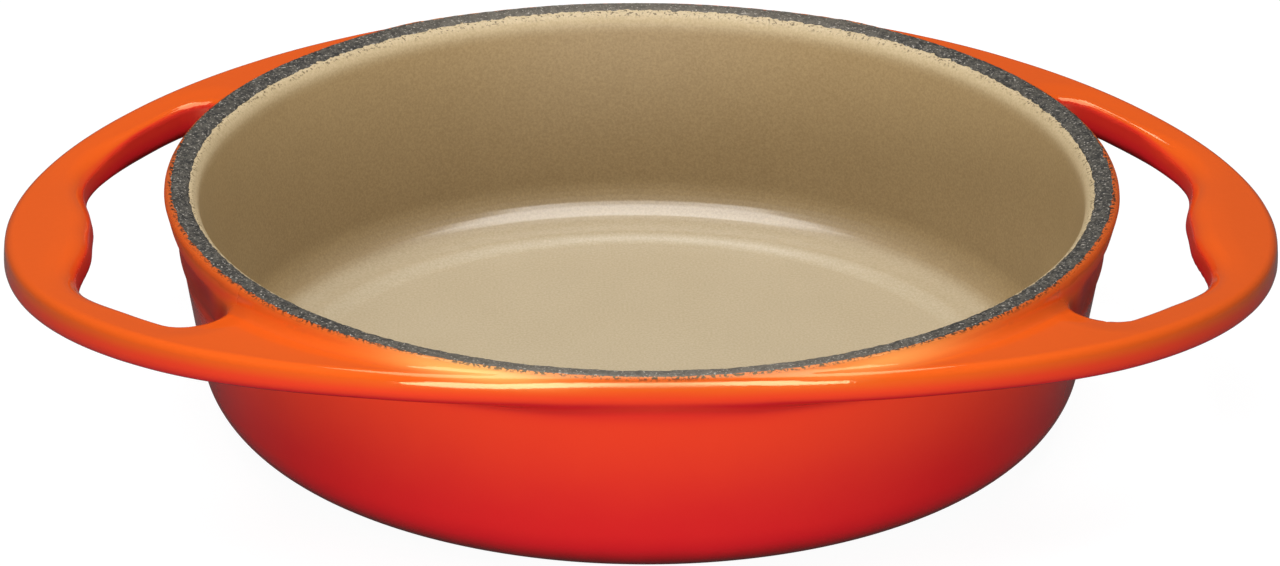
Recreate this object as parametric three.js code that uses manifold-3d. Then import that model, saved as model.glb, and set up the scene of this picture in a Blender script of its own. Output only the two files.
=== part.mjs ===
// Tarte tatin dish: a shallow round dish of enamelled cast iron, with an oval flange that dips
// towards both ends and opens there into two loop handles.
// Millimetres, +Z up. The origin is on the table, under the middle of the bowl, and the loops
// lie along X. The casting is one piece of iron; its fired glass coats are separate thin shells.
import * as THREE from "three";
import { mergeVertices } from "three/addons/utils/BufferGeometryUtils.js";
import Module from "manifold-3d";

// Bowl
const HEIGHT = 64; // table to the top of the rim
const RIM_RADIUS = 128; // outside of the bead round the rim
const BEAD_HEIGHT = 4; // depth of the bead's outer face below the rim
const BEAD_OVERHANG = 2.4; // how far the bead stands out from the wall under it
const BEAD_RELIEF = 3; // height of the hollow that leads from the bead back to the wall
const RIM_ROUND = 1.8; // rounding of the rim's outer edge
const LIP_ROUND = 0.8; // rounding of the rim's inner edge
const WALL = 5.8; // thickness of the wall, coats included
const FLOOR = 5.6; // thickness of the floor, coats included
const BASE_RADIUS = 116; // where the line of the outer wall would meet the table
const BASE_FILLET = 15; // outer rounding from wall to base
const INNER_FILLET = 12; // inner rounding from wall to floor

// Oval flange with its two loops
const LOOP_REACH = 43.4; // from the bead to the tip of a loop
const FLANGE_PROUD = 0.4; // how far the flange stands out past the bead, at the front and the back
const FLANGE_STEP = 1.3; // top of the flange below the rim, at the front and the back
const LOOP_DIP = 13.4; // how much lower the flange lies at the tips
const FLANGE_THICKNESS = 8.4;
const EDGE_ROUND = 2.9; // rounding of the flange's edges
const ARM_WIDTH = 12.5; // width of a loop where it leaves the flange
const GRIP_WIDTH = 24.7; // width of a loop at its middle, over the thumb swell
const SWELL_HALF_LENGTH = 26; // half of the length of the thumb swell
const ROOT_ROUND = 9; // rounding of an opening's corners beside the bowl
const ROOT_TUCK = 1.2; // how far those corners reach in under the bead

// Coats
const ENAMEL = 0.5; // thickness of each glass coat
const BOND = 0.3; // clearance between a coat and the iron under it

// Facets
const SEGMENTS = 56; // round the bowl and the flange
const ARC_STEPS = 3; // along each rounding of the bowl's section
const EDGE_STEPS = 2; // along each rounding of the flange's edge
const LOOP_STATIONS = 8; // along half of an opening's edge, beside the loop
const ROOT_STATIONS = 5; // round an opening's corner
const BOWL_STATIONS = 4; // along half of an opening's edge, beside the bowl

const PAST = 5; // how far a cutting solid runs past what it cuts
const HALVINGS = 40; // steps in the search for an opening's corner
const SHORTEST = 0.01; // edges below this length are closed up

const wasm = await Module();
wasm.setup();

// Closed three.js geometry to a solid and back

function solidOf(geometry) {
  const bare = geometry.clone();
  bare.deleteAttribute("normal");
  bare.deleteAttribute("uv");
  const merged = mergeVertices(bare);
  const vertProperties = new Float32Array(merged.attributes.position.array);
  const triVerts = new Uint32Array(merged.index.array);
  return new wasm.Manifold(new wasm.Mesh({ numProp: 3, vertProperties, triVerts }));
}

// The geometry of a solid's largest body: facets that graze each other can leave pinholes inside,
// and edges too short to keep.
function geometryOf(solid) {
  const body = solid.decompose().reduce((a, b) => (b.volume() > a.volume() ? b : a));
  const mesh = body.simplify(SHORTEST).getMesh();
  const geometry = new THREE.BufferGeometry();
  geometry.setAttribute("position", new THREE.BufferAttribute(mesh.vertProperties, 3));
  geometry.setIndex(new THREE.BufferAttribute(mesh.triVerts, 1));
  geometry.computeVertexNormals();
  return geometry;
}

// Section of the bowl: one line of radius and height, from the middle of the base, up the outside,
// over the rim and down the inside to the middle of the floor

const point = (radius, height) => new THREE.Vector2(radius, height);

// Points of the arc that rounds off the corner between two straight lines.
function rounded(before, corner, after, radius) {
  const back = before.clone().sub(corner).normalize();
  const on = after.clone().sub(corner).normalize();
  const half = back.angleTo(on) / 2;
  const reach = radius / Math.tan(half);
  const centre = back.clone().add(on).setLength(radius / Math.sin(half)).add(corner);
  const start = back.clone().multiplyScalar(reach).add(corner).sub(centre).angle();
  const end = on.clone().multiplyScalar(reach).add(corner).sub(centre).angle();
  const sweep = Math.atan2(Math.sin(end - start), Math.cos(end - start));
  return Array.from({ length: ARC_STEPS + 1 }, (_, step) => {
    const angle = start + (sweep * step) / ARC_STEPS;
    return point(centre.x + radius * Math.cos(angle), centre.y + radius * Math.sin(angle));
  });
}

const beadFoot = point(RIM_RADIUS, HEIGHT - BEAD_HEIGHT);
const wallTop = point(RIM_RADIUS - BEAD_OVERHANG, beadFoot.y - BEAD_RELIEF);
const baseCorner = point(BASE_RADIUS, 0);
const draft = (wallTop.x - baseCorner.x) / wallTop.y; // outward lean of the wall
const wallRadius = (height) => baseCorner.x + draft * height;
const rimOuter = point(RIM_RADIUS, HEIGHT);
const rimInner = point(wallRadius(HEIGHT) - WALL, HEIGHT);
const floorCorner = point(wallRadius(FLOOR) - WALL, FLOOR);
const baseMiddle = point(0, 0);
const floorMiddle = point(0, FLOOR);

const baseArc = rounded(baseMiddle, baseCorner, wallTop, BASE_FILLET);
const reliefMiddle = point(wallTop.x + BEAD_OVERHANG / 4, wallTop.y + BEAD_RELIEF / 2);
const rimArc = rounded(beadFoot, rimOuter, rimInner, RIM_ROUND);
const lipArc = rounded(rimOuter, rimInner, floorCorner, LIP_ROUND);
const floorArc = rounded(rimInner, floorCorner, floorMiddle, INNER_FILLET);

const outside = [...baseArc, wallTop, reliefMiddle, beadFoot, ...rimArc];
const inside = [...lipArc, ...floorArc];
const skin = [baseMiddle, ...outside, ...inside, floorMiddle];
const baseEdge = skin.indexOf(baseArc[0]); // the coats meet at these three points of the line
const rimEdge = skin.indexOf(rimArc.at(-1));
const lipEdge = skin.indexOf(lipArc.at(-1));

// The line moved `depth` into the iron, with mitred corners.
function sunk(depth) {
  return skin.map((here, i) => {
    const before = skin[Math.max(i, 1)].clone().sub(skin[Math.max(i, 1) - 1]).normalize();
    const last = Math.min(i, skin.length - 2);
    const after = skin[last + 1].clone().sub(skin[last]).normalize();
    const inward = point(-before.y - after.y, before.x + after.x).normalize();
    const mitre = depth / inward.dot(point(-before.y, before.x));
    return inward.multiplyScalar(mitre).add(here);
  });
}

const coatBack = sunk(ENAMEL);
const ironFace = sunk(ENAMEL + BOND);

// Turns a section round the Z axis. A section that stays off the axis is closed on itself.
function turned(section) {
  const open = section[0].x === 0 && section.at(-1).x === 0;
  const profile = open ? section : [...section, section[0]];
  return new THREE.LatheGeometry(profile, SEGMENTS).rotateX(Math.PI / 2);
}

// A coat over the stretch of the line between two of its points.
function coat(from, to) {
  const front = skin.slice(from, to + 1);
  const back = coatBack.slice(from, to + 1).reverse();
  return turned(from === 0 ? [...front, ...back] : [...back, ...front]);
}

// Oval flange: one closed section carried round the bowl, from the oval's edge into the middle of the
// bowl's wall, with an opening cut through it at each end

const ovalLong = RIM_RADIUS + LOOP_REACH;
const ovalShort = RIM_RADIUS + FLANGE_PROUD;
const seat = wallRadius(HEIGHT - FLANGE_STEP - FLANGE_THICKNESS) - WALL / 2;
const topHeight = (x) => HEIGHT - FLANGE_STEP - LOOP_DIP * (x / ovalLong) ** 2;
const QUARTER = Math.PI / 2;

const polar = (angle, radius) => point(radius * Math.cos(angle), radius * Math.sin(angle));
const ovalPoint = (t) => point(ovalLong * Math.cos(t), ovalShort * Math.sin(t));
const ovalNormal = (t) => point(Math.cos(t) / ovalLong, Math.sin(t) / ovalShort).normalize();
const insideOval = (t, depth) => ovalNormal(t).multiplyScalar(-depth).add(ovalPoint(t));

// A place on the flange's top or underside, `drop` below that face.
function onFlange(place, drop, upper) {
  const top = topHeight(place.x);
  return [place.x, place.y, upper ? top - drop : top - FLANGE_THICKNESS + drop];
}

// The rounding of an edge on the flange's top or underside, from the flat face to the edge, with
// every face moved `depth` into the iron. `normal` points out of the iron.
function rounding(edge, normal, depth, upper) {
  return Array.from({ length: EDGE_STEPS + 1 }, (_, i) => {
    const angle = (QUARTER * i) / EDGE_STEPS;
    const back = depth + (EDGE_ROUND - depth) * (1 - Math.sin(angle));
    const drop = depth + (EDGE_ROUND - depth) * (1 - Math.cos(angle));
    return onFlange(normal.clone().multiplyScalar(-back).add(edge), drop, upper);
  });
}

// The flange before its openings are cut.
function plate(depth) {
  const rings = Array.from({ length: SEGMENTS }, (_, i) => {
    const t = (4 * QUARTER * i) / SEGMENTS;
    const outer = ovalPoint(t);
    const inner = outer.clone().setLength(seat);
    const middle = inner.clone().lerp(outer, 0.5);
    return [
      onFlange(inner, depth, false),
      onFlange(middle, depth, false),
      ...rounding(outer, ovalNormal(t), depth, false),
      ...rounding(outer, ovalNormal(t), depth, true).reverse(),
      onFlange(middle, depth, true),
      onFlange(inner, depth, true),
    ];
  });
  return closed(rings, bands(rings, true));
}

// Width of the loop, swelling at the middle of the grip.
function loopWidth(t) {
  const swell = Math.exp(-((ovalPoint(t).y / SWELL_HALF_LENGTH) ** 2));
  return ARM_WIDTH + (GRIP_WIDTH - ARM_WIDTH) * swell;
}

// Where on the oval the corner of the opening starts: its rounding touches the loop and the bowl.
function rootStart() {
  let [low, high] = [QUARTER / 4, QUARTER];
  for (let halving = 0; halving < HALVINGS; halving++) {
    const middle = (low + high) / 2;
    const centre = insideOval(middle, loopWidth(middle) + ROOT_ROUND);
    if (centre.length() > RIM_RADIUS - ROOT_TUCK + ROOT_ROUND) low = middle;
    else high = middle;
  }
  return low;
}

// Outline of the right opening, anticlockwise from the middle of the grip: along the loop, round the
// corner, back inside the bowl's wall, and the same again mirrored.
function openingOutline() {
  const rootT = rootStart();
  const rootCentre = insideOval(rootT, loopWidth(rootT) + ROOT_ROUND);
  const rootFrom = ovalNormal(rootT).angle();
  const rootTurn = rootCentre.angle() + Math.PI - rootFrom;
  const half = [];
  for (let i = 0; i < LOOP_STATIONS; i++) {
    const t = (rootT * i) / LOOP_STATIONS;
    half.push(insideOval(t, loopWidth(t)));
  }
  for (let i = 0; i <= ROOT_STATIONS; i++) {
    half.push(polar(rootFrom + (rootTurn * i) / ROOT_STATIONS, ROOT_ROUND).add(rootCentre));
  }
  for (let i = BOWL_STATIONS - 1; i >= 0; i--) {
    half.push(polar((rootCentre.angle() * i) / BOWL_STATIONS, seat));
  }
  const mirrored = half.slice(1, -1).map((place) => point(place.x, -place.y));
  return [...half, ...mirrored.reverse()];
}

// The right opening as a solid, flared at the top and underside to round the edges it leaves.
function opening(depth) {
  const outline = openingOutline();
  const columns = outline.map((edge, i) => {
    const along = outline[(i + 1) % outline.length].clone().sub(outline.at(i - 1));
    const normal = point(-along.y, along.x).normalize();
    const under = rounding(edge, normal, depth, false);
    const over = rounding(edge, normal, depth, true).reverse();
    const raised = ([x, y, z], by) => [x, y, z + by];
    return [raised(under[0], -PAST), ...under, ...over, raised(over.at(-1), PAST)];
  });
  const size = columns[0].length;
  const index = bands(columns, false);
  const faces = THREE.ShapeUtils.triangulateShape(columns.map(([place]) => point(...place)), []);
  for (const [a, b, c] of faces) {
    index.push(a * size, c * size, b * size);
    index.push(a * size + size - 1, b * size + size - 1, c * size + size - 1);
  }
  return closed(columns, index);
}

// Triangles between neighbouring rings of equally many points, the last ring joined to the first.
function bands(rings, tube) {
  const size = rings[0].length;
  const index = [];
  rings.forEach((_, i) => {
    const next = (i + 1) % rings.length;
    for (let j = 0; j < (tube ? size : size - 1); j++) {
      const [a, b] = [i * size + j, i * size + ((j + 1) % size)];
      const [c, d] = [next * size + j, next * size + ((j + 1) % size)];
      index.push(a, c, b, b, c, d);
    }
  });
  return index;
}

function closed(rings, index) {
  const geometry = new THREE.BufferGeometry();
  geometry.setAttribute("position", new THREE.Float32BufferAttribute(rings.flat(2), 3));
  geometry.setIndex(index);
  return geometry;
}

// The flange with every face moved `depth` into the iron.
function flange(depth) {
  const right = opening(depth);
  const left = right.clone().rotateZ(Math.PI);
  return solidOf(plate(depth)).subtract(solidOf(right)).subtract(solidOf(left));
}

// The pieces

function ironCasting() {
  return geometryOf(solidOf(turned(ironFace)).add(flange(ENAMEL + BOND)));
}

// The outer coat is the whole outer form, less the same form a coat's thickness further in.
function exteriorEnamel() {
  const front = [baseMiddle, ...skin.slice(baseEdge, rimEdge + 1), point(0, HEIGHT)];
  const core = [
    point(0, -PAST),
    point(skin[baseEdge].x, -PAST),
    skin[baseEdge],
    ...coatBack.slice(baseEdge, rimEdge + 1),
    skin[rimEdge],
    point(skin[rimEdge].x, HEIGHT + PAST),
    point(0, HEIGHT + PAST),
  ];
  const whole = solidOf(turned(front)).add(flange(0));
  return geometryOf(whole.subtract(solidOf(turned(core)).add(flange(ENAMEL))));
}

function piece(name, geometry, colour, roughness, metalness) {
  const material = new THREE.MeshStandardMaterial({ color: colour, roughness, metalness });
  const mesh = new THREE.Mesh(geometry, material);
  mesh.name = name;
  return mesh;
}

const dish = new THREE.Group();
dish.add(
  piece("iron_casting", ironCasting(), 0x4a4948, 0.7, 0.6),
  piece("exterior_enamel", exteriorEnamel(), 0xe2501f, 0.18, 0),
  piece("rim_ground_coat", coat(rimEdge, lipEdge), 0x4d4b49, 0.85, 0),
  piece("interior_enamel", coat(lipEdge, skin.length - 1), 0xcbb890, 0.35, 0),
  piece("base_enamel", coat(0, baseEdge), 0xa8161d, 0.3, 0),
);

export default dish;
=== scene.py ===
# %% [markdown]
# A tarte tatin dish is a shallow bowl of cast iron with glass fired onto it: orange outside, sand inside,
# and a bare black ground coat along the rim. The packed model carries its true sizes, so it is loaded first
# and everything below is worked out around it.

import bmesh
import bpy
import numpy as np
from mathutils import Matrix, Vector


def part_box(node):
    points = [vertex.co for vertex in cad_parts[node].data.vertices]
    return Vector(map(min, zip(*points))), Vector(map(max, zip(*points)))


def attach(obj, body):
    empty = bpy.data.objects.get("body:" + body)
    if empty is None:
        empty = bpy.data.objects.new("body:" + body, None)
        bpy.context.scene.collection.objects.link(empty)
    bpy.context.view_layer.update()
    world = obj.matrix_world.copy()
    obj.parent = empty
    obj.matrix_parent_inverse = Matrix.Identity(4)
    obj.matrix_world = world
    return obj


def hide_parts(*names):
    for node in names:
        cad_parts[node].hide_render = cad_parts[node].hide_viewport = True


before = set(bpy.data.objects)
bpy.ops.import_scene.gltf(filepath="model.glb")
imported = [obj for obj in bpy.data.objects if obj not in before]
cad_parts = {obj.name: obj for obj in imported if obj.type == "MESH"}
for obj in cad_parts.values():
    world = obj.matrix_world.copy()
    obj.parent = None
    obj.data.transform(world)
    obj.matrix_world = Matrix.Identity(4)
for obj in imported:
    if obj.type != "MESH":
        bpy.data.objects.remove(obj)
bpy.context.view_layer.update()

# %% [markdown]
# Casting drawings are read in millimetres, so the sizes stay in millimetres here and each finished mesh is
# brought to metres at the end. The large sizes come from the packed nodes. Roundings and fillets that only
# the fired surface shows are given in the cells that first need them. A pair of numbers in brackets is the
# span over which something sets in.

# %% Sizes of the casting
MM = 0.001


def top_corner(node):
    """Highest corner of a packed node, in millimetres."""
    return np.array(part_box(node)[1]) / MM


OVAL_LONG, OVAL_SHORT, HEIGHT = top_corner("exterior_enamel")
BAND_OUTER = top_corner("rim_ground_coat")[0]  # outer edge of the bare band on the rim
BASE_FLAT = top_corner("base_enamel")[0]  # radius of the flat that the dish stands on
OVAL_PAST_RIM = 0.4  # how far the oval stands past the rim at front and back
RIM_RADIUS = OVAL_SHORT - OVAL_PAST_RIM
BASE_RADIUS = 116.0  # where the leaning wall would meet the table
WALL_TOP = HEIGHT - 7.0
WALL_INSET = 2.4  # how far inside the rim the wall ends
DRAFT = (RIM_RADIUS - WALL_INSET - BASE_RADIUS) / WALL_TOP
print("oval", OVAL_LONG, OVAL_SHORT, "height", HEIGHT, "band", BAND_OUTER, "base", BASE_FLAT)

# %% [markdown]
# The outside is one poured skin: wall, bead, flange and loops run into each other through soft fillets, and
# two openings break through it. A grid of two parameters would tear at those openings. So the form is
# written as a field instead: a number at every point in space, below zero inside the iron. Rounded joins
# between fields are what a pattern maker calls radii: `round_and` rounds an edge, `round_or` fills a corner.

# %% Fields and their rounded joins
def round_and(a, b, radius):
    """Inside both: the larger of two distances, with a quarter circle of the radius along the shared edge."""
    past = np.hypot(np.maximum(a + radius, 0), np.maximum(b + radius, 0))
    return np.minimum(np.maximum(a, b), -radius) + past


def round_or(a, b, radius):
    """Inside either: the smaller of two distances, with a quarter circle of the radius in their corner."""
    near = np.hypot(np.maximum(radius - a, 0), np.maximum(radius - b, 0))
    return np.maximum(np.minimum(a, b), radius) - near


def smooth(low, high, value):
    """Smooth step from 0 at `low` to 1 at `high`."""
    part = np.clip((value - low) / (high - low), 0, 1)
    return part * part * (3 - 2 * part)


def bell(value, width, power=2):
    """Bell curve: 1 at 0, 1/e at the width on either side, with steeper flanks at a higher power."""
    return np.exp(-np.abs(value / width) ** power)


print("rounding an edge by 2 mm leaves its sharp corner", round_and(0.0, 0.0, 2.0), "mm outside")

# %% [markdown]
# Seen from above, the flange is an oval that touches the round rim at front and back and stands far out at
# the ends, where an opening leaves a loop for the fingers. A loop is a band of a given width along the oval,
# wider at the grip, and an arc rounds the corner where it meets the bowl. The plan is kept as distances from
# these lines, because a rounded join is only true where it joins true distances.

# %% Plan of the flange: the oval and the width of its loops
ARM_WIDTH, GRIP_WIDTH = 12.3, 23.3
SWELL_HALF_LENGTH = 31.8


def oval_foot(x, y, rounds=6):
    """Nearest point of the oval, as its angle t, and the distance outside it, by Newton's rule on t."""
    t = np.arctan2(y * OVAL_LONG, x * OVAL_SHORT)
    spread = OVAL_LONG**2 - OVAL_SHORT**2
    for _ in range(rounds):
        s, c = np.sin(t), np.cos(t)
        pull = OVAL_LONG * x * s - OVAL_SHORT * y * c - spread * s * c
        t = t - pull / (OVAL_LONG * x * c + OVAL_SHORT * y * s - spread * (c * c - s * s))
    s, c = np.sin(t), np.cos(t)
    nx, ny = OVAL_SHORT * c, OVAL_LONG * s
    size = np.hypot(nx, ny)
    return t, ((x - OVAL_LONG * c) * nx + (y - OVAL_SHORT * s) * ny) / size


def loop_width(t):
    """Width of a loop at the oval's angle t: an arm, with a bell-shaped swell at the middle of the grip."""
    return ARM_WIDTH + (GRIP_WIDTH - ARM_WIDTH) * bell(OVAL_SHORT * np.sin(t), SWELL_HALF_LENGTH, 3)


def inside_oval(t, depth):
    """Point at a depth inside the oval, straight in from its angle t, and the direction straight out."""
    normal = np.array([OVAL_SHORT * np.cos(t), OVAL_LONG * np.sin(t)])
    edge = np.array([OVAL_LONG * np.cos(t), OVAL_SHORT * np.sin(t)])
    return edge - normal / np.hypot(*normal) * depth, np.arctan2(normal[1], normal[0])


print("loop", loop_width(0.0), "mm wide at the grip,", loop_width(np.pi / 4), "mm in an arm")

# %% [markdown]
# An opening ends in two round corners beside the bowl. Where such a corner lies follows from what it touches:
# the loop's inner edge on one side and the bowl on the other. So its centre is searched along the line that
# runs at the right distance from the loop, and taken where the bowl is at the same distance.

# %% Plan of the flange: the openings and the dip
ROOT_ROUND = 9.0  # radius of an opening's corners
ROOT_TUCK = 1.2  # how far these corners reach under the rim
TUCK_TURN, TUCK_MORE = 0.16, 5.0  # past them, over this angle, an opening reaches further under it
FLANGE_STEP = 1.3  # the flange's top below the rim
FLANGE_DIP = 13.2  # its further fall at the tips of the loops


def corner_of_opening(tries=20001):
    """Centre, first angle and turn of the arc that rounds an opening's corner, touching loop and bowl."""
    t = np.linspace(np.pi / 8, np.pi / 2, tries)
    centre, start = inside_oval(t, loop_width(t) + ROOT_ROUND)
    miss = np.abs(np.hypot(*centre) - (RIM_RADIUS - ROOT_TUCK + ROOT_ROUND))
    best = miss.argmin()
    x, y = centre[:, best]
    return x, y, start[best], np.arctan2(y, x) + np.pi - start[best]


ROOT_X, ROOT_Y, ROOT_START, ROOT_TURN = corner_of_opening()
ROOT_AZIMUTH = np.arctan2(ROOT_Y, ROOT_X)


def flange_plan(x, y):
    """Distance outside the flange in plan, and how far a point lies in an opening: below zero is iron."""
    x, y = np.abs(x), np.abs(y)
    t, outside = oval_foot(x, y)
    step = 1e-3
    slant = (loop_width(t + step) - loop_width(t - step)) / (2 * step)
    slant = slant / np.hypot(OVAL_LONG * np.sin(t), OVAL_SHORT * np.cos(t))
    past_loop = (-outside - loop_width(t)) / np.sqrt(1 + slant**2)
    tucked = smooth(ROOT_AZIMUTH, ROOT_AZIMUTH - TUCK_TURN, np.arctan2(y, x))
    past_bowl = np.hypot(x, y) - (RIM_RADIUS - ROOT_TUCK - TUCK_MORE * tucked)
    past_corner = ROOT_ROUND - np.hypot(x - ROOT_X, y - ROOT_Y)
    turned = np.mod(np.arctan2(y - ROOT_Y, x - ROOT_X) - ROOT_START, 2 * np.pi)
    opening = np.where(turned < ROOT_TURN, past_corner, np.minimum(past_loop, past_bowl))
    return outside, opening


def flange_top(x):
    """Height of the flange's top: it dips as a parabola towards the tips of the loops."""
    return HEIGHT - FLANGE_STEP - FLANGE_DIP * (x / OVAL_LONG) ** 2


print("opening corner at", ROOT_X, ROOT_Y)

# %% [markdown]
# The flange is a slab cut by the oval and the openings. Its outer face is crowned, most of all at front and
# back, where the bead runs into it. The loops are thicker, with inner faces that lean and a softer edge along
# the grip, so that fingers meet a broad curve.

# %% Field of the flange
MERGING = (9, OVAL_PAST_RIM)  # overhang of the flange over which it runs into the bead
FLANGE_THICKNESS, LOOP_THICKNESS = 8.4, 9.6
THICKENING = (70, 130)  # distance from the middle, along the dish
MID_BLEND = 2.0  # half the height over which the lower roundings pass into the upper ones
FRONT_LIFT, LIFT_WIDTH = 1.0, 50  # rise of the top at front and back
HOLE_SINK, SINKING = 0.7, (-11, -1)  # fall of the top towards an opening
CREST_DROP, CREST_RISE, CREST_WIDTH = 1.5, 2.2, 40  # where the outer face stands furthest out
CROWN, FRONT_CROWN, CROWN_WIDTH = 0.012, 0.03, 80  # curve of that face
CROWN_GIVE = 0.5  # how far it draws in where it runs into the bead
UPPER_ROUND, LOWER_ROUND = 1.9, 3.4
UPPER_TIGHTER = 0.9  # less rounding of the upper edge at front and back
INNER_LEAN, LEAN_PIVOT = 0.2, 0.6  # lean of the inner faces, about this share of the thickness
INNER_UPPER, INNER_LOWER = 2.0, 1.8
GRIP_SOFTER, GRIP = 3.0, (136, 152)  # more rounding of the upper edge along the grip


def oval_radius(x, y):
    """Distance from the axis to the oval in the direction of a point."""
    return OVAL_LONG * OVAL_SHORT * np.hypot(x, y) / np.hypot(OVAL_SHORT * x, OVAL_LONG * y)


def merging(x, y):
    """1 where the oval runs into the bead, at front and back, and 0 where the flange stands well proud."""
    return smooth(*MERGING, oval_radius(x, y) - RIM_RADIUS)


def loop_flange(x, y, z):
    """Field of the dipping slab, its crowned outer face and the leaning openings; and 1 in its upper half."""
    outside, opening = flange_plan(x, y)
    merged = merging(x, y)
    top = flange_top(x)
    thick = FLANGE_THICKNESS + (LOOP_THICKNESS - FLANGE_THICKNESS) * smooth(*THICKENING, np.abs(x))
    middle = top - thick / 2
    upper = smooth(-MID_BLEND, MID_BLEND, z - middle)
    lift = FRONT_LIFT * bell(x, LIFT_WIDTH) * upper
    sink = HOLE_SINK * smooth(*SINKING, opening)
    slab = np.maximum(z - top - lift + sink, top - thick - z)
    crest = middle - CREST_DROP + CREST_RISE * bell(x, CREST_WIDTH)
    crown = CROWN + FRONT_CROWN * bell(x, CROWN_WIDTH, 4)
    crowned = outside + CROWN_GIVE * merged + (z - crest) ** 2 * crown
    edge = LOWER_ROUND + (UPPER_ROUND - UPPER_TIGHTER * merged - LOWER_ROUND) * upper
    leaned = opening + INNER_LEAN * (z - top + LEAN_PIVOT * thick)
    soft = INNER_UPPER + GRIP_SOFTER * smooth(*GRIP, np.abs(x))
    inner_edge = INNER_LOWER + (soft - INNER_LOWER) * upper
    return np.maximum(round_and(crowned, slab, edge), round_and(leaned, slab, inner_edge)), upper


print("flange top", flange_top(0.0), "mm high at the front,", flange_top(OVAL_LONG), "mm at the tips")

# %% [markdown]
# The wall leans out from the base, as a casting must to leave its mould, and ends in a bead. Beside the
# openings the bead stands free, reaches lower and leans in. At front and back it sinks into the flange. All
# of it joins by fillets, which shrink where the flange hardly stands out.

# %% Field of the whole outside
BEAD_FOOT, BEAD_ROUND, BEAD_RELIEF = HEIGHT - 4.6, 1.4, 2.4
BEAD_SKIRT, BEAD_LEAN = 3.9, 0.3  # beside the openings the bead reaches lower and leans in
RIM_ROUND = 1.9
BEAD_GIVE, RIM_EASE = 1.3, 0.7  # how far the bead draws in, and its rounding grows, at front and back
BASE_FILLET = 15.0
UNDER_FILLET, UNDER_SHARE, UNDER_MORE = 4.0, 0.9, 3.0  # largest, and its share of the overhang plus 3 mm
TOP_FILLET, TOP_SHARE = 4.5, 0.6  # largest, and its share of the overhang


def casting(x, y, z):
    """Field of the outside: leaning wall, bead, rounded base and rim, joined to the flange."""
    radius = np.hypot(x, y)
    proud = oval_radius(x, y) - RIM_RADIUS
    merged = merging(x, y)
    wall = (radius - BASE_RADIUS - DRAFT * z) / np.hypot(1, DRAFT)
    leaned = BEAD_LEAN * (1 - merged) * np.maximum(HEIGHT - RIM_ROUND - z, 0)
    face = radius - RIM_RADIUS + BEAD_GIVE * merged + leaned
    bead = round_and(face, BEAD_FOOT - BEAD_SKIRT * (1 - merged) - z, BEAD_ROUND)
    bowl = round_or(wall, bead, BEAD_RELIEF)
    bowl = round_and(bowl, z - HEIGHT, RIM_ROUND + RIM_EASE * merged)
    bowl = round_and(bowl, -z, BASE_FILLET)
    flange, upper = loop_flange(x, y, z)
    under = np.minimum(UNDER_FILLET, UNDER_SHARE * (proud + UNDER_MORE))
    over = np.minimum(TOP_FILLET, TOP_SHARE * proud)
    return np.maximum(round_or(bowl, flange, under + (over - under) * upper), z - HEIGHT)


def slope(field, points, step=0.05):
    """Gradient of a field at points, by central differences."""
    moves = np.eye(3) * step
    return np.stack([(field(*(points + m).T) - field(*(points - m).T)) / (2 * step) for m in moves], axis=1)


print("field 1 mm above the front rim", casting(0.0, -120.0, HEIGHT + 1), "mm")

# %% [markdown]
# To turn the field into a skin, space round the dish is cut into cells that follow it: steps of angle,
# steps from the bowl out to the oval, and steps of height that dip with the flange. Every cell that the
# surface passes through gets one point, and every cell edge that it crosses gets one quad. Each point then
# slides down the field's slope until it lies exactly on the surface, so edges and fillets come out smooth.

# %% Skin of a field on a grid that follows the dish
AROUND, ACROSS, UP = 512, 58, 84
CORE_RADIUS, MARGIN = 97.0, 2.0
LOWEST, HIGHEST = -1.2, 72.5
DIPPING = (24, 44)  # levels of the grid between which its layers turn from flat to dipping


def grid_point(i, j, k):
    """Place of grid coordinates: angle i, share j of the way from the core to past the oval, height k."""
    angle = 2 * np.pi * i / AROUND
    c, s = np.cos(angle), np.sin(angle)
    radius = CORE_RADIUS + (oval_radius(c, s) + MARGIN - CORE_RADIUS) * j / (ACROSS - 1)
    x, y = radius * c, radius * s
    level = LOWEST + (HIGHEST - LOWEST) * k / (UP - 1)
    dip = HEIGHT - FLANGE_STEP - flange_top(x)
    return x, y, level - dip * smooth(*DIPPING, level)


def dual_quads(inside):
    """Quads of cell numbers, one for each grid edge with one end inside. The first axis wraps round."""
    cells = np.arange(inside.size).reshape(inside.shape)
    quads = []
    for axis, (b, c) in enumerate(((1, 2), (0, 2), (0, 1))):
        crossed = inside != np.roll(inside, -1, axis)
        keep = [slice(None) if n == 0 else slice(1, -1) for n in range(3)]
        mask = np.zeros_like(crossed)
        mask[tuple(keep)] = True
        mask &= crossed
        ring = [cells, np.roll(cells, 1, b), np.roll(np.roll(cells, 1, b), 1, c), np.roll(cells, 1, c)]
        quads.append(np.stack([part[mask] for part in ring], axis=1))
    return np.concatenate(quads)


def settle(field, points, rounds=6, flattest=0.05, stride=1.0):
    """Slides points along the slope of a field until it is zero there, by no more than a stride a round."""
    for _ in range(rounds):
        gradient = slope(field, points)
        value = field(*points.T)
        move = (value / np.maximum((gradient**2).sum(1), flattest))[:, None] * gradient
        points = points - np.clip(move, -stride, stride)
    return points


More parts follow.
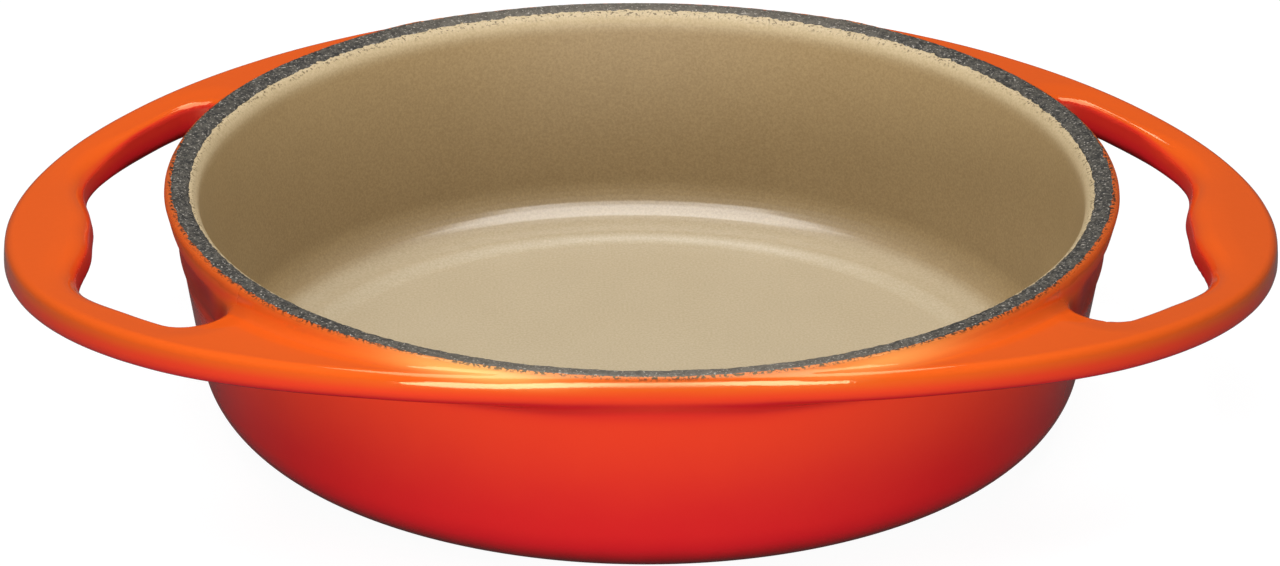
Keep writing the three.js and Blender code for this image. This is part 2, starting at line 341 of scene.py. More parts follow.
def skin_of(field):
    """Points, outward normals and quads of the surface where a field is zero."""
    i, j, k = np.meshgrid(np.arange(AROUND), np.arange(ACROSS), np.arange(UP), indexing="ij")
    inside = field(*grid_point(i, j, k)) < 0
    quads = dual_quads(inside)
    used, quads = np.unique(quads, return_inverse=True)
    quads = quads.reshape(-1, 4)
    index = np.stack(np.unravel_index(used, inside.shape), axis=1) + 0.5
    points = settle(field, np.stack(grid_point(*index.T), axis=1))
    normals = slope(field, points)
    normals /= np.linalg.norm(normals, axis=1, keepdims=True)
    across = np.cross(points[quads[:, 2]] - points[quads[:, 0]], points[quads[:, 3]] - points[quads[:, 1]])
    backwards = (across * normals[quads[:, 0]]).sum(1) < 0
    quads[backwards] = quads[backwards][:, ::-1]
    return points, normals, quads


points, normals, quads = skin_of(casting)
print("skin", len(points), "points", len(quads), "quads, worst miss", np.abs(casting(*points.T)).max(), "mm")

# %% [markdown]
# The coat was sprayed from above and outside while the iron lay mouth up. So it is thickest and most orange
# on the flange and loops, and runs to red and crimson down the wall. Painted shade is laid into the same
# tone: a dark band on the wall under the flange, a darker foot where the wall turns under, faces that look
# down, and the lower and upright inner faces of the openings, where a thinner coat adds to it. That tone is
# kept with each point.

# %% Tone of the outside coat, with painted shade
FOOT_TONE, FOOT_GAIN, FOOT_RISE = 0.04, 0.28, (0, 14)  # quick rise of the tone at the wall's foot
WALL_GAIN, WALL_RISE = 0.3, (10, 56)  # slow rise up the wall
SHADE, SHADE_HEIGHT, SHADE_WIDTH = 0.2, 52.5, 3  # painted shade on the wall under the flange, at this height
EDGE_LOSS, EDGE_DROP = 0.55, (0.5, 8)  # outer faces, by their drop below the flange's top
FACE_LOSS, FACE_TILT = 0.56, (0.9, 0.5)  # inner faces, by their tilt
DEEP_SHADE, DEEP_DROP = 0.33, (4, 9)  # and by their drop
FACING, CLEAR_OF_RIM = (-7, -4), (0.5, 3.5)  # what counts as an inner face: near an opening, past the rim
GRIP_SPARED, GRIP_ENDS = 0.65, (138, 150)  # less of that darkening on the grip's inner face
DOWNWARD_SHADE, BELOW_TILT = 0.6, (0.3, 0.9)  # faces that look down
PROUD_OF_WALL, RIM_LEVELS = (0.6, 2.4), (58, 61)  # where flange and bead take over from the wall


def flame_tone(points, normals):
    """From 0, the darkest, through 0.3 for crimson and 0.6 for red, to 1 for full orange; painted shade
    lowers it.
    """
    x, y, z = points.T
    tilt = normals[:, 2]
    radius = np.hypot(x, y)
    drop = flange_top(x) - z
    opening = flange_plan(x, y)[1]
    # The quick rise at the foot is painted shade where the wall turns under to the table; the slow rise is
    # the coat's own gradient.
    wall = FOOT_TONE + FOOT_GAIN * smooth(*FOOT_RISE, z) + WALL_GAIN * smooth(*WALL_RISE, z)
    # Painted shade: a dark band on the wall just under the flange.
    wall = wall - SHADE * bell(z - SHADE_HEIGHT, SHADE_WIDTH)
    outer = 1 - EDGE_LOSS * smooth(*EDGE_DROP, drop)
    # Inner faces darken as they turn upright, partly a thinner coat and partly painted shade, and darken
    # lower down as painted shade.
    inner = 1 - FACE_LOSS * smooth(*FACE_TILT, tilt) - DEEP_SHADE * smooth(*DEEP_DROP, drop)
    facing = smooth(*FACING, opening) * smooth(*CLEAR_OF_RIM, radius - RIM_RADIUS)
    facing = facing * (1 - GRIP_SPARED * smooth(*GRIP_ENDS, np.abs(x)))
    flange = outer + (inner - outer) * facing
    # Painted shade on faces that look down.
    flange = flange * (1 - DOWNWARD_SHADE * smooth(*BELOW_TILT, -tilt))
    proud = radius - BASE_RADIUS - DRAFT * z
    return wall + (flange - wall) * np.maximum(smooth(*PROUD_OF_WALL, proud), smooth(*RIM_LEVELS, z))


tone = flame_tone(points, normals)
print("tone from", tone.min(), "to", tone.max())

# %% [markdown]
# Two more values go with the points. A painted highlight, an amber glow of the lamps, lies in the crease
# beside the bead on both sides of the front and the back, a little further out and fainter on the right. And
# the faces that look inwards, into a loop's opening, are marked, because hardly any glass landed there.

# %% Painted glow and inward faces
GLOW_PLACE, GLOW_SHIFT, GLOW_LENGTH = 53, 7, 20  # along the dish: place, shift from left to right, length
GLOW_TINT, GLOW_FAINTER = 0.8, 0.2
SIDE_BLEND = 20  # distance over which left passes into right
GLOW_REACH, GLOW_LEVELS = (8, 1), (HEIGHT - 5.5, HEIGHT - 2)  # distance past the band, and heights
INWARD, UPRIGHT = (-5, -3), (0.6, 0.35)  # closeness to an opening, and tilt
LOOP_LEVELS = (HEIGHT - 25, HEIGHT - 21)  # the loops lie above these heights, the lower wall below them


# Painted highlight: the lamps' glow in the crease beside the bead, laid into the colour.
def painted_glow(points, past):
    """A bell along the dish on each side, fading with the distance past the band and below the rim."""
    x, z = points[:, 0], points[:, 2]
    side = np.tanh(x / SIDE_BLEND)
    along = bell(np.abs(x) - GLOW_PLACE - GLOW_SHIFT * side, GLOW_LENGTH) * (GLOW_TINT - GLOW_FAINTER * side)
    return along * (smooth(*GLOW_REACH, past) * smooth(*GLOW_LEVELS, z))


def looking_inwards(points, normals):
    """1 on upright faces beside an opening, at the height of the loops."""
    x, y, z = points.T
    beside = smooth(*INWARD, flange_plan(x, y)[1]) * smooth(*UPRIGHT, normals[:, 2])
    return beside * smooth(*LOOP_LEVELS, z)


print("pools", GLOW_PLACE - GLOW_SHIFT, "mm left and", GLOW_PLACE + GLOW_SHIFT, "mm right of the middle")

# %% [markdown]
# A mesh in Blender is a list of points and a list of faces. Whole numpy arrays go into it at once, which is
# quicker and plainer than adding faces one by one. Values kept per point become attributes, which a finish
# can read later, and each piece says which packed body it rides on.

# %% A piece from points and quads
def make_piece(name, points, faces, slot, normals=None, **values):
    """Mesh in metres from points in millimetres and quads, with smooth shading and values kept per point."""
    mesh = bpy.data.meshes.new(name)
    mesh.vertices.add(len(points))
    mesh.vertices.foreach_set("co", (points * MM).astype(np.float32).ravel())
    mesh.loops.add(faces.size)
    mesh.loops.foreach_set("vertex_index", faces.astype(np.int32).ravel())
    mesh.polygons.add(len(faces))
    mesh.polygons.foreach_set("loop_start", np.arange(0, faces.size, 4, dtype=np.int32))
    mesh.update(calc_edges=True)
    mesh.shade_smooth()
    for key, value in values.items():
        mesh.attributes.new(key, "FLOAT", "POINT").data.foreach_set("value", value.astype(np.float32))
    if normals is not None:
        mesh.normals_split_custom_set_from_vertices(normals.tolist())
    piece = bpy.data.objects.new(name, mesh)
    bpy.context.scene.collection.objects.link(piece)
    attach(piece, "root")
    print(name, len(points), "points", len(faces), "quads")
    return piece


def without(quads, covered):
    """Which points stay, and the quads between them, when quads with every corner covered are left off."""
    quads = quads[~covered[quads].all(axis=1)]
    kept, quads = np.unique(quads, return_inverse=True)
    return kept, quads.reshape(-1, 4)


# %% [markdown]
# Under the bare band and under the base disc the outside coat would only lie inside its neighbours, so those
# faces are left off, and the edges that remain dive a little way under them. No gap shows between the coats.
# The coat also stands for the iron behind it, of which nothing shows.

# %% Make the outside coat
BORDER_PAST = 0.2  # outer border of the band past its packed edge
BACK_WIDER, BACK = 1.1, (0, 0.35)  # more of it towards the back, by the share of y in the direction
FRONT_WIDER, FRONT = 0.6, (-0.3, -0.7)
RIM_ZONE, TOP_SKIN, BASE_SKIN = 3.0, 0.5, 0.5  # depths below the rim's top and above the table
BAND_OVERLAP, BASE_OVERLAP = 1.0, 2.0  # how far the coat runs on under the band and the base disc
BAND_DIVE, BAND_SPAN = 0.4, (0.3, -0.6)
BASE_DIVE, BASE_SPAN, BASE_ZONE = 0.3, 1.2, 1.0
SPECKED = (2.3, 0)  # distance past the band over which its specks set in


def band_border(x, y):
    """Outer border of the bare band in the direction of a point: wiped by hand, so not quite round."""
    back = y / np.hypot(x, y)
    wider = BACK_WIDER * smooth(*BACK, back) + FRONT_WIDER * smooth(*FRONT, back)
    return BAND_OUTER + BORDER_PAST + (1 - merging(x, y)) * wider


radius = np.hypot(points[:, 0], points[:, 1])
past = radius - band_border(points[:, 0], points[:, 1])
high = points[:, 2] > HEIGHT - RIM_ZONE
on_top = (points[:, 2] > HEIGHT - TOP_SKIN) & (past < -BAND_OVERLAP)
on_base = (points[:, 2] < BASE_SKIN) & (radius < BASE_FLAT - BASE_OVERLAP)
points[:, 2] -= BAND_DIVE * smooth(*BAND_SPAN, past) * high
points[:, 2] += BASE_DIVE * smooth(BASE_FLAT, BASE_FLAT - BASE_SPAN, radius) * (points[:, 2] < BASE_ZONE)
kept, quads = without(quads, on_top | on_base)
values = {"tone": tone, "beside_band": smooth(*SPECKED, past) * high}
values["hollow"] = painted_glow(points, past)
values["hidden"] = looking_inwards(points, normals)
values = {key: value[kept] for key, value in values.items()}
outside = make_piece("outside_coat", points[kept], quads, "flame_enamel", normals[kept], **values)
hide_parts("exterior_enamel", "iron_casting")

# %% [markdown]
# The inside is turned: one section line, swept round the axis. The line runs from the middle of the floor,
# through a fillet, up the leaning wall and over a small rounded lip to the bare band. A casting floor is
# never quite flat beside its fillet, and the light shows that as a second faint ring, so it has one here.

# %% Section of the inside
INNER_DRAFT = 0.139
LEAN = np.arctan(INNER_DRAFT)
MOUTH_RADIUS = RIM_RADIUS - 8.5  # where the inner wall would meet the plane of the rim
LEDGE, INNER_FILLET = 5.7, 11.6  # height of the floor beside its fillet, and the fillet's radius
FLOOR_STEP, STEP_SPAN = 1.68, (2.6, 9.6)  # fall of the floor, by the distance inside the fillet
FLOOR_COARSE = 90  # radius of the floor's middle, where few rings are enough
FLOOR_RINGS, FILLET_RINGS, WALL_RINGS, LIP_RINGS = 40, 48, 26, 22
RIPPLE, RIPPLES = 0.012, 46  # height and pace of the marks that turning left in the fillet
LIP_ROUND, LIP_END = 5.5, 1.25  # radius of the lip, and the angle at which it ends under the band
BAND_INNER = RIM_RADIUS - 6.8
LIP_DIVE, LIP_SPAN = 0.3, 0.6
HUB_INNER = MOUTH_RADIUS - INNER_DRAFT * LIP_ROUND * (1 - np.sin(LEAN)) + LIP_ROUND * np.cos(LEAN)


def lip_drop(radius):
    """How far the lip lies below the rim's top over a radius: a quarter circle, then nothing."""
    return LIP_ROUND - np.sqrt(np.maximum(LIP_ROUND**2 - np.maximum(HUB_INNER - radius, 0) ** 2, 0))


def inside_section():
    """Radii and heights of floor, fillet, wall and lip: arcs by angle, straight runs by length."""
    wall_foot = MOUTH_RADIUS - INNER_DRAFT * HEIGHT
    centre = wall_foot + INNER_DRAFT * (LEDGE + INNER_FILLET) - INNER_FILLET / np.cos(LEAN)
    middle = np.linspace(0, FLOOR_COARSE, FLOOR_RINGS)
    floor = np.concatenate([middle, np.linspace(FLOOR_COARSE, centre, FLOOR_RINGS)[1:]])
    ring = FLOOR_STEP * smooth(centre - STEP_SPAN[0], centre - STEP_SPAN[1], floor)
    turn = np.linspace(0, np.pi / 2 - LEAN, FILLET_RINGS)[1:]
    mark = INNER_FILLET - RIPPLE * np.cos(turn * RIPPLES) * np.sin(turn * 2)
    bend = centre + mark * np.sin(turn), LEDGE + INNER_FILLET - mark * np.cos(turn)
    top = HEIGHT - LIP_ROUND * (1 - np.sin(LEAN))
    up = np.linspace(bend[1][-1], top, WALL_RINGS)[1:-1]
    over = np.linspace(LEAN, LIP_END, LIP_RINGS)
    lip = HUB_INNER - LIP_ROUND * np.cos(over)
    dive = LIP_DIVE * smooth(BAND_INNER - LIP_SPAN, BAND_INNER + LIP_SPAN, lip)
    radii = np.concatenate([floor, bend[0], wall_foot + INNER_DRAFT * up, lip])
    return radii, np.concatenate([LEDGE - ring, bend[1], up, HEIGHT - lip_drop(lip) - dive])


print("section of", len(inside_section()[0]), "points, lip centred at radius", HUB_INNER)

# %% [markdown]
# Turning the line gives a grid of quads. All its points at the axis fall together, so they are merged into
# one, and the floor closes there.

# %% Turn the inside
INSIDE_STATIONS = 320


def turned(radius, height, stations):
    """Points of a section line swept round the axis, and their quads; the ring closes on itself."""
    angle = np.linspace(0, 2 * np.pi, stations, endpoint=False)[:, None]
    grid = np.stack(np.broadcast_arrays(radius * np.cos(angle), radius * np.sin(angle), height), axis=2)
    across = grid.shape[1]
    cell = np.arange(stations * across).reshape(stations, across)
    after = np.roll(cell, -1, axis=0)
    quads = np.stack([cell[:, :-1], after[:, :-1], after[:, 1:], cell[:, 1:]], axis=2)
    return grid.reshape(-1, 3), quads.reshape(-1, 4)


points, quads = turned(*inside_section(), INSIDE_STATIONS)
inside = make_piece("inside_coat", points, quads, "sand_enamel")
pole = bmesh.new()
pole.from_mesh(inside.data)
bmesh.ops.remove_doubles(pole, verts=pole.verts, dist=1e-6)
pole.to_mesh(inside.data)
pole.free()
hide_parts("interior_enamel")

# %% [markdown]
# The band on the rim is bare ground coat, the first firing, wiped clean of colour by hand. It is matte and
# grainy, and its edges are ragged because the colours beside it end unevenly. Here it is a strip turned like
# the inside, with seeded grain in its height. Its borders dive under the two coats, so where the surfaces
# cross, the grain decides the edge, as it does on the real rim.

# %% The bare band on the rim
STATIONS, STRIPS = 2200, 20
INNER_SHIFT = 0.9  # the inner border lies this far back, as the hand wiped it
UNDERLAP, INNER_FADE, OUTER_FADE = 0.75, 0.6, 0.5  # how far the strip runs under the coats, and dives there
STRIP_DIVE = 0.3
GRAINS = (0.05, 1.1, 3), (0.04, 2.6, 4)  # height, size in steps and seed of the fine and the coarse grain
GRAIN_MOST = 0.14
SEARCH_BELOW, SEARCH_ABOVE = 4, 1  # span of the search for the rim's top


def grain(rows, columns, size, seed):
    """Seeded bumps of a given size in steps: white noise with its spectrum cut by a bell curve; it wraps."""
    noise = np.fft.fft2(np.random.default_rng(seed).standard_normal((rows, columns)))
    wave = np.hypot(np.fft.fftfreq(rows)[:, None], np.fft.fftfreq(columns))
    bumps = np.fft.ifft2(noise * np.exp(-2 * (np.pi * wave * size) ** 2)).real
    return bumps / bumps.std()


def top_of(field, x, y, halvings=14):
    """Height near the rim at which a field turns from inside to outside, found by halving a span."""
    low = np.full_like(x, HEIGHT - SEARCH_BELOW)
    high = np.full_like(x, HEIGHT + SEARCH_ABOVE)
    for _ in range(halvings):
        half = (low + high) / 2
        inside = field(x, y, half) < 0
        low = np.where(inside, half, low)
        high = np.where(inside, high, half)
    return low


angle = np.linspace(0, 2 * np.pi, STATIONS, endpoint=False)[:, None]
border = band_border(np.cos(angle), np.sin(angle))
inner = BAND_INNER + INNER_SHIFT * np.sin(angle)
radius = inner - UNDERLAP + (border - inner + 2 * UNDERLAP) * np.linspace(0, 1, STRIPS)
cover = smooth(inner - INNER_FADE, inner + INNER_FADE, radius)
cover = cover * smooth(border + OUTER_FADE, border - OUTER_FADE, radius)
rough = sum(height * grain(STATIONS, STRIPS, size, seed) for height, size, seed in GRAINS)
height = top_of(casting, radius * np.cos(angle), radius * np.sin(angle)) - lip_drop(radius)
height = height - STRIP_DIVE * (1 - cover) + np.clip(rough, -GRAIN_MOST, GRAIN_MOST) - GRAIN_MOST
points, quads = turned(radius, height, STATIONS)
band = make_piece("rim_band", points, quads, "ground_coat")
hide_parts("rim_ground_coat")

# %% [markdown]
# Finishes are small networks of nodes. Written out socket by socket they hide the idea, so one class wraps a
# socket: arithmetic on it adds Math nodes, and one method adds any other node. The patterns read the
# object's own coordinates in metres, so a grain of one millimetre is a scale of a thousand.

# %% Node arithmetic
class Signal:
    """A socket in a material's node tree, with arithmetic that adds Math nodes."""

    def __init__(self, tree, socket=None):
        self.tree = tree
        self.socket = socket

    def node(self, kind, settings=None, sockets=None, output=0):
        """Adds a node of any kind: settings first, then the values or links of its sockets."""
        node = self.tree.nodes.new(kind)
        for name, value in (settings or {}).items():
            setattr(node, name, value)
        for key, value in (sockets or {}).items():
            if isinstance(value, Signal):
                self.tree.links.new(value.socket, node.inputs[key])
            else:
                node.inputs[key].default_value = value
        return Signal(self.tree, node.outputs[output])

    def math(self, operation, first, second):
        return self.node("ShaderNodeMath", {"operation": operation}, {0: first, 1: second})

    def __add__(self, other):
        return self.math("ADD", self, other)

    def __radd__(self, other):
        return self.math("ADD", other, self)

    def __sub__(self, other):
        return self.math("SUBTRACT", self, other)

    def __rsub__(self, other):
        return self.math("SUBTRACT", other, self)

    def __mul__(self, other):
        return self.math("MULTIPLY", self, other)

    def __rmul__(self, other):
        return self.math("MULTIPLY", other, self)

    def step(self, low, high):
        """Smooth step of this value, from 0 at `low` to 1 at `high`."""
        limits = {"Value": self, "From Min": low, "From Max": high}
        return self.node("ShaderNodeMapRange", {"interpolation_type": "SMOOTHSTEP"}, limits)

    def mix(self, first, second):
        """Colour from `first` at 0 to `second` at 1 of this value."""
        sockets = {"Factor": self, "A": first, "B": second}
        return self.node("ShaderNodeMix", {"data_type": "RGBA"}, sockets, "Result")

    def noise(self, scale, detail=2.0, roughness=0.5):
        """Cloudy noise over the object's own coordinates; scale is in lumps a metre."""
        place = self.node("ShaderNodeTexCoord", output="Object")
        sockets = {"Vector": place, "Scale": scale, "Detail": detail, "Roughness": roughness}
        return self.node("ShaderNodeTexNoise", sockets=sockets)

    def along(self, axis):
        """The object's own coordinate along an axis, in metres."""
        place = self.node("ShaderNodeTexCoord", output="Object")
        return self.node("ShaderNodeSeparateXYZ", sockets={"Vector": place}, output=axis)

    def kept(self, name):
        """A value that was kept with the points of the mesh."""
        return self.node("ShaderNodeAttribute", {"attribute_name": name}, output="Fac")

    def bump(self, strength, distance):
        """Normal of a surface on which this value stands up by the distance, in metres."""
        sockets = {"Strength": strength, "Distance": distance, "Height": self}
        return self.node("ShaderNodeBump", sockets=sockets)


print("node arithmetic:", [name for name in vars(Signal) if not name.startswith("_")])

# %% [markdown]
# A finish starts as a new material with its Principled shader. Colours are written as a screen shows them,
# 0 to 255, and turned into the linear numbers that Blender works with.

# %% Materials and colours
def finish(name):
    """A new material and the start of its node arithmetic; `surface` later sets its shader."""
    material = bpy.data.materials.new(name)
    material.use_nodes = True
    return material, Signal(material.node_tree)


def surface(material, sockets):
    """Sets values or links on the material's Principled shader."""
    shader = material.node_tree.nodes["Principled BSDF"]
    for key, value in sockets.items():
        if isinstance(value, Signal):
            material.node_tree.links.new(value.socket, shader.inputs[key])
        else:
            shader.inputs[key].default_value = value


def rgb(red, green, blue):
    """A screen colour made linear: a straight run near black, and a power of 2.4 above it."""
    share = np.array([red, green, blue]) / 255
    linear = np.where(share <= 0.04045, share / 12.92, ((share + 0.055) / 1.055) ** 2.4)
    return (*linear.tolist(), 1.0)


print("half grey is", rgb(128, 128, 128)[0], "in linear numbers")

# %% [markdown]
# Flame enamel: clear coloured glass over a dark ground. Where it is thick it is orange, where it is thin the
# ground shows through as crimson, and the painted shade in the tone takes it down to maroon. The tone kept
# with each point chooses the colour, and a kept glow paints an amber highlight beside the bead. The glass is
# glossy with the faint orange-peel of a fired coat, and dark specks of ground coat spot it beside the band.
# Inside the loops, where little of it landed, it stays dull.

# %% Finish of the outside
MAROON, CRIMSON, RED, ORANGE = rgb(74, 6, 10), rgb(206, 24, 34), rgb(230, 60, 33), rgb(227, 91, 25)
GLOW_AMBER, RUST, GROUND_SPECK = rgb(248, 178, 96), rgb(176, 92, 40), rgb(52, 36, 30)
TO_CRIMSON, TO_RED, TO_ORANGE = (0.0, 0.3), (0.25, 0.66), (0.6, 1.0)  # tones over which each comes in
CLOUD_SCALE, CLOUD_CHANGE = 60, 0.06  # lumps a metre, and the change of tone that they make
GLOW_SHARE, RUST_SHARE = 0.9, 0.6
FLECK_SCALE, FLECK_SIZE, FLECK_ZONE = 1100, (0.48, 0.58), (0.5, 0.95)
GLOSS, GLOSS_SCALE, GLOSS_CHANGE = 0.078, 90, 0.04
DULL_BESIDE_BAND, DULL_IN_LOOPS = 0.3, 0.4
PEEL_SCALE, PEEL_STRENGTH, PEEL_DEPTH = 420, 0.06, 0.0004
GLASS_IOR, WARM_SHINE = 1.6, (1, 0.88, 0.48, 1)

flame, start = finish("flame_enamel")
tone = start.kept("tone") + (start.noise(CLOUD_SCALE, detail=3) - 0.5) * CLOUD_CHANGE
colour = tone.step(*TO_CRIMSON).mix(MAROON, CRIMSON)
colour = tone.step(*TO_RED).mix(colour, RED)
colour = tone.step(*TO_ORANGE).mix(colour, ORANGE)
# Painted highlight: the amber glow beside the bead.
colour = (start.kept("hollow") * GLOW_SHARE).mix(colour, GLOW_AMBER)
beside = start.kept("beside_band")
colour = (beside * RUST_SHARE).mix(colour, RUST)
flecks = start.noise(FLECK_SCALE).step(*FLECK_SIZE) * beside.step(*FLECK_ZONE)
colour = flecks.mix(colour, GROUND_SPECK)
gloss = GLOSS + (start.noise(GLOSS_SCALE) - 0.5) * GLOSS_CHANGE
gloss = gloss + beside * DULL_BESIDE_BAND + start.kept("hidden") * DULL_IN_LOOPS
peel = start.noise(PEEL_SCALE).bump(PEEL_STRENGTH, PEEL_DEPTH)
surface(flame, {"Base Color": colour, "Roughness": gloss, "Normal": peel})
surface(flame, {"IOR": GLASS_IOR, "Specular Tint": WARM_SHINE})
outside.data.materials.append(flame)
print("flame enamel", len(flame.node_tree.nodes), "nodes")

# %% [markdown]
# Sand enamel is opaque and satin, with specks as fine as flour. On the floor and in the fillet the glass has
# run level and shines, so a clear coat lies there. Up the wall it stays dull. The wall and its foot are
# painted darker sand than the floor, as painted shade, and over the lip the colour pales again as a painted
# highlight on its rounding. Height alone sets all of this, so the finish reads the object's own Z.

# %% Finish of the inside
FLOOR_SAND = rgb(186, 169, 137), rgb(204, 189, 160)  # each sand from its darker to its paler specks
SHADED_FOOT_SAND = rgb(162, 137, 97), rgb(182, 157, 115)
SHADED_WALL_SAND = rgb(161, 136, 96), rgb(180, 155, 113)
LIT_LIP_SAND = rgb(184, 163, 125), rgb(202, 182, 146)
SAND_SPECK = rgb(104, 88, 58)
GRAIN_SCALE, GRAIN_SHARE, SMEAR_SCALE, SMEAR_SHARE = 1500, 0.88, 45, 0.12
SAND_CONTRAST = (0.3, 0.7)
FLOOR_ENDS, WALL_SPAN, LIP_STARTS = (0.0049, 0.0085), (0.016, 0.058), (0.057, 0.062)  # heights in metres
SPECKS_START, GLAZE_ENDS = (0.0614, 0.063), (0.0138, 0.0095)
SPECK_SCALE, SPECK_SIZE = 1300, (0.54, 0.66)

sand, start = finish("sand_enamel")
grains = start.noise(GRAIN_SCALE, detail=3, roughness=0.7)
tint = (start.noise(SMEAR_SCALE, detail=4) * SMEAR_SHARE + grains * GRAIN_SHARE).step(*SAND_CONTRAST)
rise = start.along("Z")
# Painted shade: the wall and its foot are darker sand than the floor.
wall = rise.step(*WALL_SPAN).mix(tint.mix(*SHADED_FOOT_SAND), tint.mix(*SHADED_WALL_SAND))
colour = rise.step(*FLOOR_ENDS).mix(tint.mix(*FLOOR_SAND), wall)
# Painted highlight: paler sand over the lip's rounding.
colour = rise.step(*LIP_STARTS).mix(colour, tint.mix(*LIT_LIP_SAND))
specks = start.noise(SPECK_SCALE).step(*SPECK_SIZE) * rise.step(*SPECKS_START)
colour = specks.mix(colour, SAND_SPECK)
relief = grains.bump(strength=0.1, distance=0.0003)
surface(sand, {"Base Color": colour, "Roughness": 0.48, "IOR": 1.45, "Normal": relief})
surface(sand, {"Coat Weight": rise.step(*GLAZE_ENDS), "Coat Roughness": 0.2, "Coat IOR": 1.72})
inside.data.materials.append(sand)
print("sand enamel", len(sand.node_tree.nodes), "nodes")

# %% [markdown]
# Ground coat is a black glass full of grit, fired without gloss. Two scales of noise give it dark pits and
# pale grains, and a strong bump breaks up the light that it returns. At front and back it is painted a little
# paler, a painted sheen where the rim is seen at a glancing angle.

# %% Finish of the bare band
PIT, GRIT, PALE_GRAIN, SHEEN_PALE = rgb(33, 31, 28), rgb(79, 75, 67), rgb(170, 163, 153), rgb(170, 158, 140)
PIT_SCALE, PIT_CONTRAST = 650, (0.38, 0.62)
PALE_SCALE, PALE_SIZE = 1500, (0.58, 0.7)
SHEEN_SHARE, SHEEN_SPAN = 0.2, (0.008, 0.0155)  # span of the square of y, in square metres

ground, start = finish("ground_coat")
grains = start.noise(PALE_SCALE, roughness=0.6)
colour = start.noise(PIT_SCALE, detail=3, roughness=0.7).step(*PIT_CONTRAST).mix(PIT, GRIT)
colour = grains.step(*PALE_SIZE).mix(colour, PALE_GRAIN)
away = start.along("Y")
# Painted sheen: paler at front and back, where the band is seen at a glancing angle.
colour = ((away * away).step(*SHEEN_SPAN) * SHEEN_SHARE).mix(colour, SHEEN_PALE)
relief = grains.bump(strength=0.5, distance=0.0004)
surface(ground, {"Base Color": colour, "Roughness": 0.7, "Normal": relief})
band.data.materials.append(ground)
print("ground coat", len(ground.node_tree.nodes), "nodes")

# %% [markdown]
# The base is coated with the same red glass as the foot of the wall, and hardly shows while the dish stands.
# So the packed disc stays as it is and only gets a finish, in the slot that it already has.

# %% Finish of the base
BASE_DARK, BASE_RED = rgb(150, 20, 28), rgb(172, 28, 32)
BASE_SCALE, BASE_CONTRAST = 80, (0.3, 0.7)

base, start = finish("base_coat")
colour = start.noise(BASE_SCALE, detail=3).step(*BASE_CONTRAST).mix(BASE_DARK, BASE_RED)
peel = start.noise(PEEL_SCALE).bump(PEEL_STRENGTH, PEEL_DEPTH)
surface(base, {"Base Color": colour, "Roughness": 0.2, "Normal": peel})
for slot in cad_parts["base_enamel"].material_slots:
    slot.material = base
print("base slots", [slot.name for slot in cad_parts["base_enamel"].material_slots])

# %% [markdown]
# The photograph was taken from well away with a long lens: both loops are nearly the same size in it, so the
# perspective is weak. The height of the camera follows from how flat the rim's circle looks, 24 degrees. The
# loops also sit a little askew, which a small roll and a small turn about the upright axis explain. The view
# transform is Standard, so that a colour comes out as it is written.

# %% Camera
ELEVATION, ROLL, YAW = np.radians([24.04, 0.38, 1.72])
EYE = np.array([-0.00035, -2.0093, 0.9297])
FOCAL, IMAGE_WIDTH, SENSOR_WIDTH = 8152.5, 1280, 36  # two in pixels of the photograph, one in millimetres
TURN = Matrix.Rotation(-YAW, 4, "Z")

forward = np.array([0, np.cos(ELEVATION), -np.sin(ELEVATION)])
right = np.array([1.0, 0, 0])
up = np.cross(right, forward)
pose = np.eye(4)
pose[:3, 0] = np.cos(ROLL) * right + np.sin(ROLL) * up
pose[:3, 1] = np.cos(ROLL) * up - np.sin(ROLL) * right
pose[:3, 2] = -forward
pose[:3, 3] = EYE
lens = bpy.data.cameras.new("camera")
lens.sensor_fit = "HORIZONTAL"
lens.sensor_width = SENSOR_WIDTH
lens.lens = FOCAL / IMAGE_WIDTH * SENSOR_WIDTH
camera = bpy.data.objects.new("camera", lens)
camera.matrix_world = TURN @ Matrix(pose.tolist())
bpy.context.scene.collection.objects.link(camera)
bpy.context.scene.camera = camera
bpy.context.scene.view_settings.view_transform = "Standard"
print("camera at", tuple(camera.matrix_world.translation), "focal length", lens.lens, "mm")

# %% [markdown]
# The stage is one grey floor that shows white to the camera, by light of its own along camera rays. Glossy
# and transmitted rays get a weak share of that white, since the glaze in the photograph hardly mirrors the
# floor, and the grey still takes a soft shadow.

# %% Floor
FLOOR_SIZE, FLOOR_BELOW = 8, 0.0002
FLOOR_GREY = rgb(84, 84, 84)
SEEN_WHITE, MIRRORED_WHITE = 0.95, 0.03

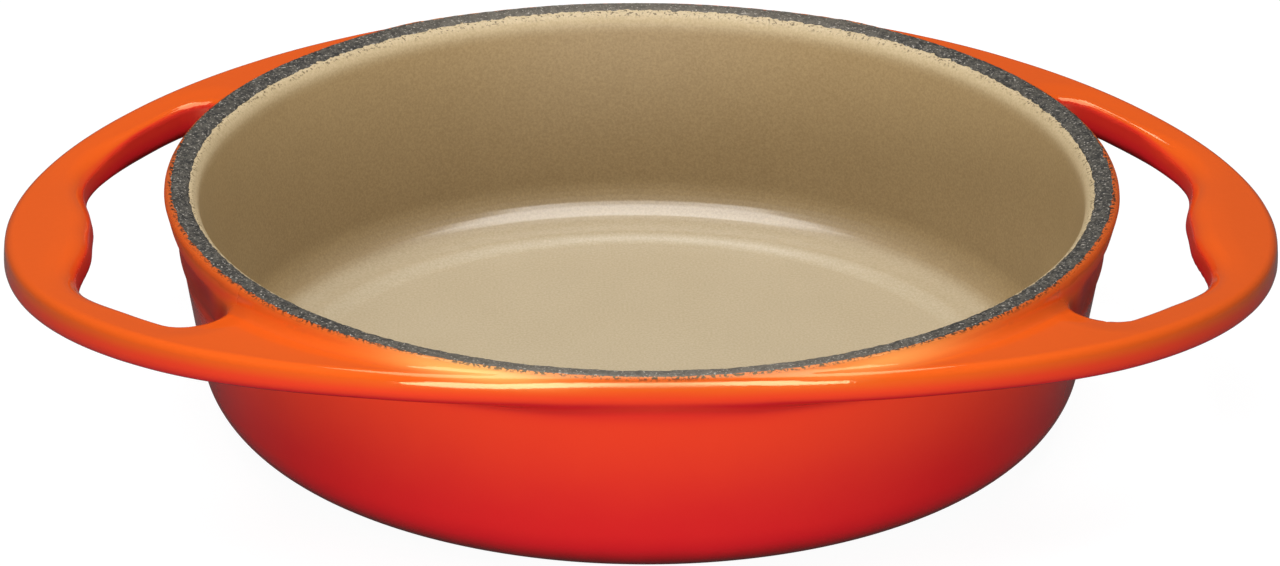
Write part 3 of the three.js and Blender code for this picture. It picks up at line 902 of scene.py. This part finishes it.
bpy.ops.mesh.primitive_plane_add(size=FLOOR_SIZE, location=(0, 0, -FLOOR_BELOW))
floor = bpy.context.object
floor.name = "floor"
pale, start = finish("pale_floor")
rays = ["Is Camera Ray", "Is Glossy Ray", "Is Transmission Ray"]
camera_ray, glossy_ray, through_ray = [start.node("ShaderNodeLightPath", output=ray) for ray in rays]
seen = camera_ray * SEEN_WHITE + (glossy_ray + through_ray) * MIRRORED_WHITE
glow = start.node("ShaderNodeCombineColor", sockets={"Red": seen, "Green": seen, "Blue": seen})
surface(pale, {"Base Color": FLOOR_GREY, "Roughness": 0.9})
surface(pale, {"Emission Color": glow, "Emission Strength": 1.0})
floor.data.materials.append(pale)
print("floor", tuple(floor.dimensions))

# %% [markdown]
# Glaze tells where the lamps stood. A broad softbox overhead draws the arc in the inside's fillet, and its
# narrow back part ends the streaks on the rear arms early. A long low strip in front draws the line along the
# front edge. Two fills lift the shadows and stay out of the reflections. Each lamp is given by the brightness
# of its face, so that it can change size and still look as bright in the glaze.

# %% Lights
WORLD_GREY = 0.08


def area(name, place, aim, width, depth, radiance, glossy=True, roll=0.0):
    """A rectangular lamp, aimed at a point; its power is pi times the radiance and area of its face."""
    place, aim = TURN @ Vector(place), TURN @ Vector(aim)
    light = bpy.data.lights.new(name, "AREA")
    light.shape = "RECTANGLE"
    light.size, light.size_y = width, depth
    light.energy = radiance * np.pi * width * depth
    lamp = bpy.data.objects.new(name, light)
    bpy.context.scene.collection.objects.link(lamp)
    lamp.location = place
    lamp.rotation_euler = (aim - place).to_track_quat("-Z", "Y").to_euler()
    lamp.rotation_euler.rotate_axis("Z", roll)
    lamp.visible_glossy = glossy
    print(name, "power", light.energy)


area("softbox", (0.01, -0.04, 0.96), (0.01, -0.04, 0), width=0.9, depth=0.69, radiance=4.35)
area("back_softbox", (-0.04, 0.4525, 0.96), (-0.04, 0.4525, 0), width=0.32, depth=0.295, radiance=6.0)
area("left_fill", (-0.68, -0.3, 0.95), (0.05, 0.05, 0.02), width=0.5, depth=0.5, radiance=3.0, glossy=False)
area("front_strip", (-0.03, -1.4, 0.17), (0, 0, 0.05), width=1.6, depth=0.25, radiance=12.0, roll=0.1)
area("low_fill", (-0.07, -1.4, 0.03), (0, 0, 0.04), width=0.9, depth=0.06, radiance=27.5, glossy=False)
world = bpy.context.scene.world or bpy.data.worlds.new("studio")
bpy.context.scene.world = world
world.use_nodes = True
world.node_tree.nodes["Background"].inputs["Color"].default_value = (WORLD_GREY, WORLD_GREY, WORLD_GREY, 1)

# %% [markdown]
# A coat is part of the casting's size, so what shows has to lie within the box of the packed model.
